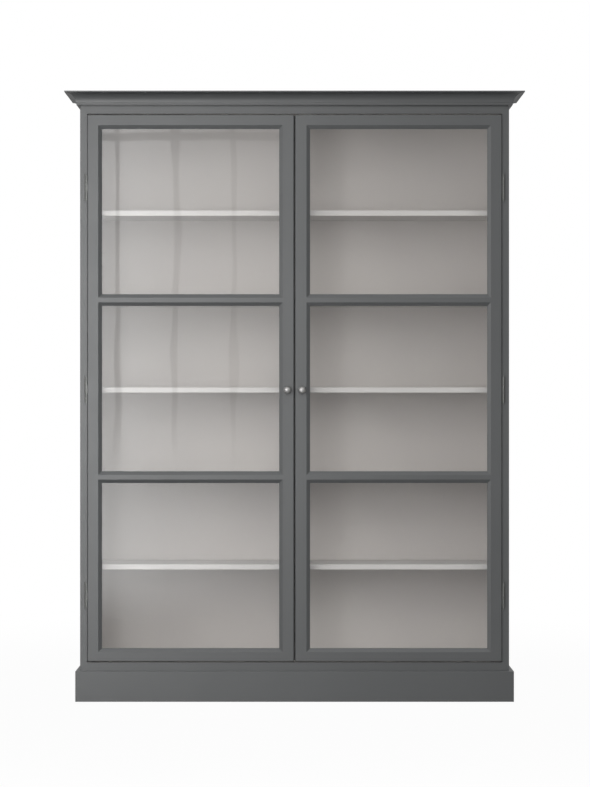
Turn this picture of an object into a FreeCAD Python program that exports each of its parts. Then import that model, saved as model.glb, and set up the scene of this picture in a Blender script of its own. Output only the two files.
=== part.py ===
import FreeCAD, Part
import math
import os
from types import SimpleNamespace

import Sketcher
from FreeCAD import Placement, Rotation, Vector

# A two-door glazed display cabinet on a plinth, with a cornice and five shelves.
# The origin is on the floor under the middle of the whole cabinet: +X is to the right,
# +Y to the back and +Z up, so the doors face -Y. All lengths are millimetres.

DOC = FreeCAD.newDocument("GlazedCabinet")

DIMENSIONS = (
    # Carcass
    ("carcass_width", 1403, "outside width over the side panels"),
    ("carcass_depth", 351.5, "front edge of a side panel to its back edge"),
    ("carcass_height", 1846, "height between plinth and cornice"),
    ("side_thickness", 23, "side panel"),
    ("top_thickness", 24, "top panel, whose front edge shows above the doors"),
    ("bottom_thickness", 28, "bottom panel"),
    ("back_thickness", 8, "back panel"),
    ("back_rebate", 10, "how far the back panel enters each side panel"),
    ("back_screw_spacing", 300, "between the screws along the top or bottom of the back panel"),
    ("carcass_arris", 1.5, "rounding of the outer front edges"),
    # Shelves
    ("shelf_thickness", 18, "shelf"),
    ("shelf_setback", 60, "carcass front to the shelf's front edge"),
    ("shelf_gap", 1, "play between a shelf and what is beside and behind it"),
    ("shelf_rise", 299.1, "bottom panel to the underside of the lowest shelf"),
    ("shelf_pitch", 291, "shelf to shelf"),
    ("shelf_arris", 2, "rounding of a shelf's front edges"),
    ("shelf_pin_radius", 2.5, "shelf support pin"),
    ("shelf_pin_hole_depth", 9, "part of the pin inside the side panel"),
    ("shelf_pin_reach", 10, "part of the pin under the shelf"),
    ("shelf_pin_inset", 40, "pin to the front or back edge of the shelf"),
    # Dowels and screws
    ("dowel_radius", 4, "dowel between side panel and top or bottom panel"),
    ("dowel_side_depth", 12, "part of the dowel in the side panel"),
    ("dowel_panel_depth", 20, "part of the dowel in the top or bottom panel"),
    ("dowel_inset", 45, "outer dowels to the front and back of the panel"),
    ("hole_clearance", 0.05, "play around a dowel, pin, screw or hinge pin"),
    ("wood_screw_radius", 2, "screw that holds the plinth, the cornice or the back"),
    ("wood_screw_head_radius", 4, "its countersunk head"),
    ("wood_screw_head_height", 2.6, "its countersunk head"),
    ("wood_screw_grip", 18, "how far it enters the piece behind"),
    # Plinth
    ("plinth_height", 100, "floor to the underside of the carcass"),
    ("plinth_overhang", 15, "how far the plinth stands out in front and at each side"),
    ("plinth_thickness", 25, "plinth board"),
    ("plinth_arris", 1.6, "rounding of the top outer edge"),
    ("plinth_corner_radius", 3, "rounding of the two upright front corners"),
    ("plinth_back_thickness", 18, "back board"),
    ("plinth_block_side", 40, "corner block, along and across"),
    ("plinth_block_height", 60, "corner block"),
    # Cornice
    ("cornice_height", 47, "top of the carcass to the top of the cabinet"),
    ("cornice_overhang", 48.5, "how far the cornice stands out in front and at each side"),
    ("cornice_fillet", 4, "upright edge along the top"),
    ("cove_radius", 35, "hollow under the top edge"),
    ("cornice_quirk_height", 4, "sunk line between the carcass and the band"),
    ("cornice_quirk_depth", 3, "how far that line lies behind the carcass's front"),
    ("cornice_band_height", 7.5, "flat band under the hollow"),
    ("cornice_band_projection", 11.5, "how far the band stands out"),
    ("cornice_seat", 22, "part of the moulding that rests on the carcass"),
    ("cornice_cover_thickness", 9, "board that closes the top"),
    ("cornice_cover_ledge", 10, "ledge that the board lies on"),
    ("cornice_back_thickness", 18, "back rail"),
    ("cornice_screw_spacing", 420, "between the screws along the cornice"),
    # Doors
    ("door_thickness", 22, "stiles and rails"),
    ("door_proud", 8, "how far the doors stand in front of the carcass"),
    ("door_top_gap", 3.5, "door to top panel"),
    ("door_bottom_gap", 3, "door to bottom panel"),
    ("door_side_gap", 1.2, "door to side panel"),
    ("meeting_gap", 3.6, "between the two doors"),
    ("door_arris", 3, "rounding of the door's outer front edges"),
    ("hinge_stile_width", 47, "stile that carries the hinges"),
    ("meeting_stile_width", 48.6, "stile that carries the knob"),
    ("top_rail_height", 46, "rail over the top pane"),
    ("bottom_rail_height", 42.4, "rail under the bottom pane"),
    ("glazing_bar_height", 38.4, "bar between two panes"),
    ("bevel_width", 11.5, "sloping edge around each pane"),
    ("bevel_depth", 8, "how far the slope falls back"),
    ("bevel_step", 1.2, "upright step where the slope starts"),
    ("glazing_lip", 1.5, "edge left in front of the glass"),
    ("glazing_rebate", 8, "how far the rebate reaches under the edge"),
    ("glass_thickness", 4, "pane"),
    ("glass_play", 0.5, "pane to the walls of its rebate"),
    # Hinges
    ("hinge_length", 88, "from tip to tip of the hinge pin"),
    ("hinge_top_inset", 238, "top of the door to the middle of the top hinge"),
    ("hinge_middle_rise", 888.3, "bottom of the door to the middle of the middle hinge"),
    ("hinge_bottom_inset", 215.7, "bottom of the door to the middle of the bottom hinge"),
    ("hinge_barrel_radius", 3, "barrel"),
    ("hinge_barrel_clearance", 1.2, "barrel to the front edge of the side panel"),
    ("hinge_offset", 5.5, "inner face of the side panel to the hinge's axis"),
    ("hinge_pin_radius", 1.5, "hinge pin"),
    ("hinge_tip_radius", 2.4, "button on each end of the pin"),
    ("hinge_tip_height", 1.8, "button on each end of the pin"),
    ("knuckle_gap", 0.3, "play between two knuckles"),
    ("leaf_thickness", 1.3, "hinge leaf"),
    ("frame_leaf_width", 24, "leaf on the side panel"),
    ("door_leaf_width", 16, "leaf on the edge of the door"),
    ("hinge_screw_radius", 1.4, "hinge screw"),
    ("hinge_screw_head_radius", 2.8, "its countersunk head"),
    ("hinge_screw_length", 15, "hinge screw"),
    ("hinge_screw_spacing", 30, "between the three screws of a leaf"),
    ("frame_leaf_screw_inset", 13.2, "front edge of the side panel to the screws"),
    ("door_leaf_screw_inset", 9.6, "hinge axis to the screws"),
    # Knobs
    ("knob_inset", 22.1, "meeting edge of the door to the middle of the knob"),
    ("knob_rise", 887.4, "bottom of the door to the middle of the knob"),
    ("knob_radius", 12, "ball"),
    ("knob_length", 28, "face of the door to the front of the ball"),
    ("knob_neck_radius", 5, "neck behind the ball"),
    ("knob_rose_radius", 8, "foot on the face of the door"),
    ("knob_rose_height", 2.4, "foot on the face of the door"),
    ("knob_screw_radius", 2, "screw through the stile"),
    ("knob_screw_depth", 12, "how far it enters the knob"),
    ("knob_screw_head_radius", 4, "head behind the stile"),
    ("knob_screw_head_height", 2.4, "head behind the stile"),
    # Catches
    ("catch_width", 40, "magnetic catch and its plate"),
    ("catch_depth", 13, "catch, front to back"),
    ("catch_height", 14, "catch, under the top panel"),
    ("catch_inset", 36, "meeting edge of the door to the middle of the catch"),
    ("catch_gap", 0.3, "closed plate to catch"),
    ("strike_thickness", 1.5, "plate on the back of the door"),
    ("strike_height", 12, "plate on the back of the door"),
    ("strike_inset", 1.5, "top of the door to the plate"),
)

LEFT, RIGHT = -1, 1
SIDES = (("left", LEFT), ("right", RIGHT))
FACE_TOWARDS = {LEFT: "left", RIGHT: "right"}
TURN_TOWARDS = {LEFT: "-x", RIGHT: "+x"}
SHELF_COUNT = 5
PANE_NAMES = ("bottom", "middle", "top")
BAR_NAMES = ("lower", "upper")
KNUCKLES = 3
DOWELS_PER_JOINT = 3
BACK_SCREWS_PER_EDGE = 4

PLANES = {"x": "YZ_Plane", "y": "XZ_Plane", "z": "XY_Plane"}
TURNS = {
    "+x": Rotation(Vector(0, 1, 0), 90),
    "-x": Rotation(Vector(0, 1, 0), -90),
    "+y": Rotation(Vector(1, 0, 0), -90),
    "-y": Rotation(Vector(1, 0, 0), 90),
    "+z": Rotation(),
    "-z": Rotation(Vector(1, 0, 0), 180),
}
TOUCH = 1e-6

pieces = {}


class Size:
    """A length together with the spreadsheet formula that it follows."""

    def __init__(self, formula, value):
        self.formula = formula
        self.value = value

    def combine(self, sign, other, value):
        return Size(f"({self.formula} {sign} {size(other).formula})", value)

    def __add__(self, other):
        return self.combine("+", other, self.value + size(other).value)

    def __sub__(self, other):
        return self.combine("-", other, self.value - size(other).value)

    def __mul__(self, other):
        return self.combine("*", other, self.value * size(other).value)

    def __truediv__(self, other):
        return self.combine("/", other, self.value / size(other).value)

    def __radd__(self, other):
        return size(other) + self

    def __rmul__(self, other):
        return size(other) * self

    def __neg__(self):
        return size(0) - self


def size(number):
    """A plain number as a Size."""
    if isinstance(number, Size):
        return number
    return Size(f"({float(number)})", float(number))


def leg(slant, other_leg):
    """The third side of a right triangle, from its longest side and another one."""
    square = slant * slant - other_leg * other_leg
    return Size(f"sqrt({square.formula})", math.sqrt(square.value))


def spreadsheet():
    """Puts the driving dimensions in a sheet and gives each one back by its alias."""
    sheet = DOC.addObject("Spreadsheet::Sheet", "Sizes")
    sizes = {}
    for row, (alias, number, note) in enumerate(DIMENSIONS, 1):
        sheet.set(f"A{row}", note)
        sheet.set(f"B{row}", str(number))
        sheet.setAlias(f"B{row}", alias)
        sizes[alias] = Size(f"Sizes.{alias}", float(number))
    DOC.recompute()
    return sizes


# ---------------------------------------------------------------- drawing helpers


def bind(item, name, number):
    item.setExpression(name, size(number).formula)


def place(item, x, y, z, turn="+z"):
    item.Placement = Placement(Vector(), TURNS[turn])
    for axis, number in zip("xyz", (x, y, z)):
        bind(item, f"Placement.Base.{axis}", number)


def mirrored(low, high, side):
    """The span from low to high right of the middle, or its mirror image left of it."""
    return (low, high) if side == RIGHT else (-high, -low)


def outline(sketch, corners):
    """Draws a closed outline with each corner fixed from the sketch's origin.

    A corner is (u, v), or (u, v, (centre u, centre v, radius)) where the next stretch is an arc.
    """
    ends = []
    for number, corner in enumerate(corners):
        following = corners[(number + 1) % len(corners)]
        start = Vector(size(corner[0]).value, size(corner[1]).value, 0)
        end = Vector(size(following[0]).value, size(following[1]).value, 0)
        if len(corner) == 2:
            sketch.addGeometry(Part.LineSegment(start, end), False)
            ends.append((1, 2))
            continue
        centre_u, centre_v, radius = corner[2]
        centre = Vector(size(centre_u).value, size(centre_v).value, 0)
        forward = (start - centre).cross(end - centre).z > 0
        first, last = (start, end) if forward else (end, start)
        circle = Part.Circle(centre, Vector(0, 0, 1), radius.value)
        arc = Part.ArcOfCircle(circle, circle.parameter(first), circle.parameter(last))
        sketch.addGeometry(arc, False)
        ends.append((1, 2) if forward else (2, 1))
    for number, (start, end) in enumerate(ends):
        following = (number + 1) % len(ends)
        join = Sketcher.Constraint("Coincident", number, end, following, ends[following][0])
        sketch.addConstraint(join)
    for number, corner in enumerate(corners):
        for kind, along in (("DistanceX", corner[0]), ("DistanceY", corner[1])):
            start = ends[number][0]
            rule = Sketcher.Constraint(kind, -1, 1, number, start, size(along).value)
            name_rule(sketch, rule, f"{kind}_{number}", along)
        if len(corner) == 3:
            radius = corner[2][2]
            rule = Sketcher.Constraint("Radius", number, radius.value)
            name_rule(sketch, rule, f"Radius_{number}", radius)


def name_rule(sketch, rule, name, number):
    index = sketch.addConstraint(rule)
    sketch.renameConstraint(index, name)
    bind(sketch, f"Constraints.{name}", number)


def sketch_on(body, plane, corners):
    sketch = body.newObject("Sketcher::SketchObject", f"{body.Name}_sketch")
    support = next(item for item in body.Origin.OriginFeatures if item.Role == plane)
    sketch.AttachmentSupport = [(support, "")]
    sketch.MapMode = "FlatFace"
    outline(sketch, corners)
    return sketch


def prism(name, axis, corners, low, high, rounded=(), radius=None):
    """A body padded along an axis, from low to high, from an outline across that axis.

    The outline is in (y, z) along x, (x, z) along y and (x, y) along z.
    """
    body = DOC.addObject("PartDesign::Body", name)
    pad = body.newObject("PartDesign::Pad", f"{name}_pad")
    pad.Profile = sketch_on(body, PLANES[axis], corners)
    pad.Reversed = axis == "y"
    bind(pad, "Length", high - low)
    bind(body, f"Placement.Base.{axis}", low)
    round_edges(body, pad, rounded, radius)
    return body


def board(name, x, y, z, rounded=(), radius=None):
    """A body that fills the spans x, y and z, each a (low, high) pair."""
    body = DOC.addObject("PartDesign::Body", name)
    block = body.newObject("PartDesign::AdditiveBox", f"{name}_block")
    for side, (low, high) in zip(("Length", "Width", "Height"), (x, y, z)):
        bind(block, side, high - low)
    place(body, x[0], y[0], z[0])
    round_edges(body, block, rounded, radius)
    return body


def turned(name, corners, x, y, z):
    """A body turned about its own Y axis from an outline in (radius, y)."""
    body = DOC.addObject("PartDesign::Body", name)
    revolution = body.newObject("PartDesign::Revolution", f"{name}_revolution")
    sketch = sketch_on(body, "XY_Plane", corners)
    revolution.Profile = sketch
    revolution.ReferenceAxis = (sketch, ["V_Axis"])
    revolution.Angle = 360
    place(body, x, y, z)
    return body


def round_edges(body, feature, pairs, radius):
    """Rounds the edges where two outer faces meet, such as ("front", "top")."""
    if not pairs:
        return
    DOC.recompute()
    names = []
    for pair in pairs:
        for number, edge in enumerate(feature.Shape.Edges, 1):
            if all(lies_on(edge, feature.Shape.BoundBox, face) for face in pair):
                names.append(f"Edge{number}")
    fillet = body.newObject("PartDesign::Fillet", f"{body.Name}_fillet")
    fillet.Base = (feature, names)
    bind(fillet, "Radius", radius)
    body.Tip = fillet


def lies_on(edge, box, face):
    """Whether an edge lies on the named face of the bounding box."""
    axis, limit = {
        "left": ("x", box.XMin),
        "right": ("x", box.XMax),
        "front": ("y", box.YMin),
        "back": ("y", box.YMax),
        "bottom": ("z", box.ZMin),
        "top": ("z", box.ZMax),
    }[face]
    return all(abs(getattr(point.Point, axis) - limit) < TOUCH for point in edge.Vertexes)


def cuboid(name, x, y, z):
    """A plain box over three (low, high) spans."""
    block = DOC.addObject("Part::Box", name)
    for side, (low, high) in zip(("Length", "Width", "Height"), (x, y, z)):
        bind(block, side, high - low)
    place(block, x[0], y[0], z[0])
    return block


def rod(name, x, y, z, turn, radius, length):
    """A round bar that starts at a point and runs the way that turn names."""
    bar = DOC.addObject("Part::Cylinder", name)
    bind(bar, "Radius", radius)
    bind(bar, "Height", length)
    place(bar, x, y, z, turn)
    return bar


def taper(name, x, y, z, turn, radius, end_radius, length):
    cone = DOC.addObject("Part::Cone", name)
    bind(cone, "Radius1", radius)
    bind(cone, "Radius2", end_radius)
    bind(cone, "Height", length)
    place(cone, x, y, z, turn)
    return cone


def joined(name, items):
    """One solid from solids that overlap or touch."""
    union = DOC.addObject("Part::MultiFuse", name)
    union.Shapes = items
    union.Refine = True
    return union


def group(name, items):
    """Separate solids kept side by side."""
    compound = DOC.addObject("Part::Compound", name)
    compound.Links = items
    return compound


def less(name, base, tools):
    """The base with the tools cut out of it."""
    cut = DOC.addObject("Part::Cut", name)
    cut.Base = base
    cut.Tool = tools[0] if len(tools) == 1 else group(f"{name}_tools", tools)
    return cut


def shared(name, first, second):
    common = DOC.addObject("Part::Common", name)
    common.Base = first
    common.Tool = second
    return common


def piece(label, item):
    """Names a finished piece after its node."""
    item.Label = label
    pieces[label] = item
    return item


def countersunk(name, points, turn, shape, play):
    """Countersunk screws that start at their heads, or their holes where there is play."""
    radius, head_radius, head_height, length = shape
    screws = []
    for number, (x, y, z) in enumerate(points, 1):
        own = f"{name}_{number}"
        head = taper(f"{own}_head", x, y, z, turn, head_radius + play, radius + play, head_height)
        shank = rod(f"{own}_shank", x, y, z, turn, radius + play, length + play)
        screws.append(joined(own, [head, shank]))
    return screws


# ---------------------------------------------------------------- shared places

dim = SimpleNamespace(**spreadsheet())
PLAY = dim.hole_clearance
NO_PLAY = size(0)

half_width = dim.carcass_width / 2
inner_x = half_width - dim.side_thickness
back_y = (dim.carcass_depth + dim.cornice_overhang) / 2
front_y = back_y - dim.carcass_depth
back_face_y = back_y - dim.back_thickness

carcass_z = dim.plinth_height
floor_z = carcass_z + dim.bottom_thickness
carcass_top_z = carcass_z + dim.carcass_height
ceiling_z = carcass_top_z - dim.top_thickness
cabinet_top_z = carcass_top_z + dim.cornice_height
bottom_middle_z = carcass_z + dim.bottom_thickness / 2
top_middle_z = carcass_top_z - dim.top_thickness / 2

door_front_y = front_y - dim.door_proud
door_back_y = door_front_y + dim.door_thickness
door_low_z = floor_z + dim.door_bottom_gap
door_high_z = ceiling_z - dim.door_top_gap
hinge_edge_x = inner_x - dim.door_side_gap
meeting_edge_x = dim.meeting_gap / 2
glass_y = door_front_y + dim.bevel_depth + dim.glazing_lip

hinge_x = inner_x + dim.hinge_offset
hinge_y = front_y - dim.hinge_barrel_clearance - dim.hinge_barrel_radius
hinge_centres_z = (
    door_low_z + dim.hinge_bottom_inset,
    door_low_z + dim.hinge_middle_rise,
    door_high_z - dim.hinge_top_inset,
)

shelf_x = inner_x - dim.shelf_gap
shelf_front_y = front_y + dim.shelf_setback
shelf_back_y = back_face_y - dim.shelf_gap
shelf_undersides_z = [floor_z + dim.shelf_rise + dim.shelf_pitch * number for number in range(SHELF_COUNT)]


# ---------------------------------------------------------------- hinges


def leaf_span(centre_z):
    half = dim.hinge_length / 2 - dim.hinge_tip_height
    return centre_z - half, centre_z + half


def knuckle_span(centre_z, number):
    """The number-th of the three equal knuckles, counted from below."""
    low, high = leaf_span(centre_z)
    length = (high - low - dim.knuckle_gap * (KNUCKLES - 1)) / KNUCKLES
    start = low + (length + dim.knuckle_gap) * number
    return start, start + length


def hinge_knuckle(name, side, edge_x, centre_z, number):
    """A knuckle and the neck that joins it to a leaf whose outer face is at edge_x."""
    low, high = knuckle_span(centre_z, number)
    barrel = rod(f"{name}_barrel", hinge_x * side, hinge_y, low, "+z", dim.hinge_barrel_radius, high - low)
    neck_y = (hinge_y - dim.leaf_thickness / 2, hinge_y + dim.leaf_thickness / 2)
    neck = cuboid(f"{name}_neck", mirrored(edge_x, hinge_x, side), neck_y, (low, high))
    return [barrel, neck]


def pin_bore(name, side, centre_z):
    low, high = leaf_span(centre_z)
    return rod(name, hinge_x * side, hinge_y, low, "+z", dim.hinge_pin_radius + PLAY, high - low)


def leaf_spans(side, centre_z, on_door):
    """The space that a leaf fills in the door's edge or in the side panel's inner face."""
    if on_door:
        x = mirrored(hinge_edge_x - dim.leaf_thickness, hinge_edge_x, side)
        low_y = hinge_y - dim.leaf_thickness / 2
        return x, (low_y, low_y + dim.door_leaf_width), leaf_span(centre_z)
    x = mirrored(inner_x, inner_x + dim.leaf_thickness, side)
    return x, (front_y, front_y + dim.frame_leaf_width), leaf_span(centre_z)


def leaf(name, side, centre_z, on_door):
    """A leaf with its knuckles: the middle one on the door, the outer two on the side panel."""
    plate_spans = leaf_spans(side, centre_z, on_door)
    solids = [cuboid(f"{name}_plate", *plate_spans)]
    edge_x = hinge_edge_x if on_door else inner_x
    for number in (1,) if on_door else (0, KNUCKLES - 1):
        own = f"{name}_knuckle_{number}"
        solids += hinge_knuckle(own, side, edge_x, centre_z, number)
        if not on_door:
            tab_y = (hinge_y - dim.leaf_thickness / 2, front_y)
            solids.append(cuboid(f"{own}_tab", plate_spans[0], tab_y, knuckle_span(centre_z, number)))
    holes = [pin_bore(f"{name}_bore", side, centre_z)]
    holes += hinge_screws(f"{name}_hole", side, centre_z, on_door, PLAY)
    return less(name, joined(f"{name}_whole", solids), holes)


def leaf_pocket(name, side, centre_z, on_door):
    """What is cut from the wood for a leaf and its screws."""
    pocket = cuboid(f"{name}_pocket", *leaf_spans(side, centre_z, on_door))
    return [pocket] + hinge_screws(f"{name}_hole", side, centre_z, on_door, PLAY)


def hinge_pin(name, side, centre_z):
    """A pin with a button on each end."""
    low, high = leaf_span(centre_z)
    x = hinge_x * side
    shank = rod(f"{name}_shank", x, hinge_y, low, "+z", dim.hinge_pin_radius, high - low)
    foot = rod(f"{name}_foot", x, hinge_y, low, "-z", dim.hinge_tip_radius, dim.hinge_tip_height)
    head = rod(f"{name}_head", x, hinge_y, high, "+z", dim.hinge_tip_radius, dim.hinge_tip_height)
    return joined(name, [shank, foot, head])


def hinge_screws(name, side, centre_z, on_door, play):
    """Three screws through a leaf, with their heads flush in its face."""
    if on_door:
        x, y, turn = hinge_edge_x, hinge_y + dim.door_leaf_screw_inset, TURN_TOWARDS[-side]
    else:
        x, y, turn = inner_x, front_y + dim.frame_leaf_screw_inset, TURN_TOWARDS[side]
    points = [(x * side, y, centre_z + dim.hinge_screw_spacing * step) for step in (-1, 0, 1)]
    head_height = dim.hinge_screw_head_radius - dim.hinge_screw_radius
    shape = (dim.hinge_screw_radius, dim.hinge_screw_head_radius, head_height, dim.hinge_screw_length)
    return countersunk(name, points, turn, shape, play)


def hinge_pieces():
    """The leaves and pins of all six hinges, and the screws in the side panels."""
    frame_screws = []
    pins = []
    for word, side in SIDES:
        frame_leaves = []
        door_leaves = []
        door_screws = []
        for number, centre_z in enumerate(hinge_centres_z, 1):
            own = f"hinge_{word}_{number}"
            frame_leaves.append(leaf(f"{own}_frame_leaf", side, centre_z, False))
            door_leaves.append(leaf(f"{own}_door_leaf", side, centre_z, True))
            frame_screws += hinge_screws(f"{own}_frame_screw", side, centre_z, False, NO_PLAY)
            door_screws += hinge_screws(f"{own}_door_screw", side, centre_z, True, NO_PLAY)
            pins.append(hinge_pin(f"{own}_pin", side, centre_z))
        piece(f"hinge_frame_leaves_{word}", group(f"frame_leaves_{word}", frame_leaves))
        piece(f"{word}_hinge_leaves", group(f"door_leaves_{word}", door_leaves))
        piece(f"{word}_hinge_screws", group(f"door_screws_{word}", door_screws))
    piece("hinge_frame_screws", group("frame_screws", frame_screws))
    piece("hinge_pins", group("pins", pins))


# ---------------------------------------------------------------- carcass


def between(low, high, count):
    """Evenly spaced places from low to high."""
    return [low + (high - low) * (number / (count - 1)) for number in range(count)]


def dowels(name, side, play):
    """The dowels that hold the top and bottom panels to one side panel."""
    bars = []
    start = inner_x - dim.dowel_panel_depth - play
    length = dim.dowel_panel_depth + dim.dowel_side_depth + play * 2
    places_y = between(front_y + dim.dowel_inset, back_face_y - dim.dowel_inset, DOWELS_PER_JOINT)
    for z in (bottom_middle_z, top_middle_z):
        for y in places_y:
            own = f"{name}_{len(bars) + 1}"
            bars.append(rod(own, start * side, y, z, TURN_TOWARDS[side], dim.dowel_radius + play, length))
    return bars


def wood_screws(name, points, turn, thickness, play):
    """Screws that pass through a thickness and then grip the piece behind it."""
    length = thickness + dim.wood_screw_grip
    shape = (dim.wood_screw_radius, dim.wood_screw_head_radius, dim.wood_screw_head_height, length)
    return countersunk(name, points, turn, shape, play)


def back_screws(name, play):
    """Two rows of screws from behind, into the back edges of the top and bottom panels."""
    middle = (BACK_SCREWS_PER_EDGE - 1) / 2
    places_x = [dim.back_screw_spacing * (number - middle) for number in range(BACK_SCREWS_PER_EDGE)]
    points = [(x, back_y, z) for z in (bottom_middle_z, top_middle_z) for x in places_x]
    return wood_screws(name, points, "-y", dim.back_thickness, play)


def shelf_pins(name, side, play):
    """The pins that carry the shelves at one side, just clear of their undersides."""
    bars = []
    start = inner_x - dim.shelf_pin_reach
    length = dim.shelf_pin_reach + dim.shelf_pin_hole_depth + play
    radius = dim.shelf_pin_radius + play
    for underside_z in shelf_undersides_z:
        z = underside_z - dim.shelf_pin_radius - PLAY
        for y in (shelf_front_y + dim.shelf_pin_inset, shelf_back_y - dim.shelf_pin_inset):
            own = f"{name}_{len(bars) + 1}"
            bars.append(rod(own, start * side, y, z, TURN_TOWARDS[side], radius, length))
    return bars


def side_panel(word, side):
    name = f"side_{word}"
    span_z = (carcass_z, carcass_top_z)
    panel_x = mirrored(inner_x, half_width, side)
    rounded = [("front", FACE_TOWARDS[side])]
    blank = board(f"{name}_blank", panel_x, (front_y, back_y), span_z, rounded, dim.carcass_arris)
    rebate_x = mirrored(inner_x, inner_x + dim.back_rebate, side)
    tools = [cuboid(f"{name}_rebate", rebate_x, (back_face_y, back_y), span_z)]
    for number, centre_z in enumerate(hinge_centres_z, 1):
        tools += leaf_pocket(f"{name}_hinge_{number}", side, centre_z, False)
    tools += dowels(f"{name}_dowel_hole", side, PLAY)
    tools += shelf_pins(f"{name}_pin_hole", side, PLAY)
    piece(f"side_panel_{word}", less(name, blank, tools))


def level_panel(word, span_z, screw_holes):
    """A panel between the side panels, doweled to them and screwed to the back panel."""
    blank = board(f"{word}_blank", (-inner_x, inner_x), (front_y, back_face_y), span_z)
    holes = screw_holes + back_screws(f"{word}_back_hole", PLAY)
    for hand, side in SIDES:
        holes += dowels(f"{word}_{hand}_dowel_hole", side, PLAY)
    piece(f"{word}_panel", less(word, blank, holes))


def carcass():
    for word, side in SIDES:
        side_panel(word, side)
    level_panel("bottom", (carcass_z, floor_z), plinth_screws("bottom_hole", PLAY))
    level_panel("top", (ceiling_z, carcass_top_z), cornice_screws("top_hole", PLAY))
    back_x = inner_x + dim.back_rebate
    back = board("back", (-back_x, back_x), (back_face_y, back_y), (carcass_z, carcass_top_z))
    holes = back_screws("back_hole", PLAY)
    piece("back_panel", less("back_drilled", back, holes))
    piece("back_panel_screws", group("all_back_screws", back_screws("back_screw", NO_PLAY)))
    bars = dowels("dowel_left", LEFT, NO_PLAY) + dowels("dowel_right", RIGHT, NO_PLAY)
    piece("carcass_dowels", group("dowels", bars))
    pins = shelf_pins("shelf_pin_left", LEFT, NO_PLAY) + shelf_pins("shelf_pin_right", RIGHT, NO_PLAY)
    piece("shelf_pins", group("all_shelf_pins", pins))


def shelves():
    rounded = [("front", "top"), ("front", "bottom")]
    x = (-shelf_x, shelf_x)
    y = (shelf_front_y, shelf_back_y)
    for number, low_z in enumerate(shelf_undersides_z, 1):
        z = (low_z, low_z + dim.shelf_thickness)
        piece(f"shelf_{number}", board(f"shelf_board_{number}", x, y, z, rounded, dim.shelf_arris))


# ---------------------------------------------------------------- frames around the carcass


def plan_front(outer, inner, corner_radius=None):
    """The plan of a mitred front length, from outer to inner beyond the carcass."""
    far_x, far_y = half_width + outer, front_y - outer
    near_x, near_y = half_width - inner, front_y + inner
    if corner_radius is None:
        return [(-far_x, far_y), (far_x, far_y), (near_x, near_y), (-near_x, near_y)]
    inset = corner_radius * (1 - math.sqrt(0.5))
    curve_y = far_y + corner_radius
    return [
        (-(far_x - corner_radius), far_y),
        (far_x - corner_radius, far_y, (far_x - corner_radius, curve_y, corner_radius)),
        (far_x - inset, far_y + inset),
        (near_x, near_y),
        (-near_x, near_y),
        (-(far_x - inset), far_y + inset, (-(far_x - corner_radius), curve_y, corner_radius)),
    ]


def plan_side(side, outer, inner, corner_radius=None):
    """The plan of a side length, mitred at the front."""
    far_x, far_y = half_width + outer, front_y - outer
    near_x, near_y = half_width - inner, front_y + inner
    back = [(far_x * side, back_y), (near_x * side, back_y), (near_x * side, near_y)]
    if corner_radius is None:
        return [(far_x * side, far_y)] + back
    inset = corner_radius * (1 - math.sqrt(0.5))
    curve = ((far_x - corner_radius) * side, far_y + corner_radius, corner_radius)
    start = ((far_x - inset) * side, far_y + inset, curve)
    return [start, (far_x * side, far_y + corner_radius)] + back


def mitred(name, axis, section, plan, span, span_z, rounded=(), radius=None):
    """A length with a moulded section, padded over a span and cut to its plan."""
    stick = prism(f"{name}_section", axis, section, *span, rounded, radius)
    cutout = prism(f"{name}_plan", "z", plan, *span_z)
    return shared(name, stick, cutout)


# ---------------------------------------------------------------- plinth

block_low_z = dim.plinth_height - dim.plinth_block_height
plinth_inner = dim.plinth_thickness - dim.plinth_overhang
plinth_inner_x = half_width - plinth_inner
plinth_inner_front_y = front_y + plinth_inner
plinth_inner_back_y = back_y - dim.plinth_back_thickness


def plinth_screw_places():
    """The middle of each corner block."""
    half = dim.plinth_block_side / 2
    return [
        ((plinth_inner_x - half) * side, y, block_low_z)
        for side in (LEFT, RIGHT)
        for y in (plinth_inner_front_y + half, plinth_inner_back_y - half)
    ]


def plinth_screws(name, play):
    return wood_screws(name, plinth_screw_places(), "+z", dim.plinth_block_height, play)


def plinth_blocks():
    half = dim.plinth_block_side / 2
    holes = plinth_screws("block_hole", PLAY)
    blocks = []
    for (x, y, low_z), hole in zip(plinth_screw_places(), holes):
        name = f"block_{len(blocks) + 1}"
        spans = ((x - half, x + half), (y - half, y + half), (low_z, dim.plinth_height))
        blocks.append(less(name, cuboid(f"{name}_blank", *spans), [hole]))
    return blocks


def plinth():
    inner, outer = plinth_inner, dim.plinth_overhang
    span_z = (size(0), dim.plinth_height)
    reach = half_width + outer
    front_low_y, front_high_y = front_y - outer, front_y + inner
    section = [(front_low_y, 0), (front_high_y, 0), (front_high_y, span_z[1]), (front_low_y, span_z[1])]
    plan = plan_front(outer, inner, dim.plinth_corner_radius)
    rounded = [("front", "top")]
    front = mitred("front_board", "x", section, plan, (-reach, reach), span_z, rounded, dim.plinth_arris)
    piece("plinth_front", front)
    for word, side in SIDES:
        low_x, high_x = plinth_inner_x * side, reach * side
        section = [(low_x, 0), (high_x, 0), (high_x, span_z[1]), (low_x, span_z[1])]
        plan = plan_side(side, outer, inner, dim.plinth_corner_radius)
        rounded = [(FACE_TOWARDS[side], "top")]
        span_y = (front_low_y, back_y)
        length = mitred(f"{word}_board", "y", section, plan, span_y, span_z, rounded, dim.plinth_arris)
        piece(f"plinth_{word}", length)
    back_x = (-plinth_inner_x, plinth_inner_x)
    piece("plinth_back", board("plinth_back_board", back_x, (plinth_inner_back_y, back_y), span_z))
    piece("plinth_blocks", group("blocks", plinth_blocks()))
    piece("plinth_screws", group("all_plinth_screws", plinth_screws("plinth_screw", NO_PLAY)))


# ---------------------------------------------------------------- cornice


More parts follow.
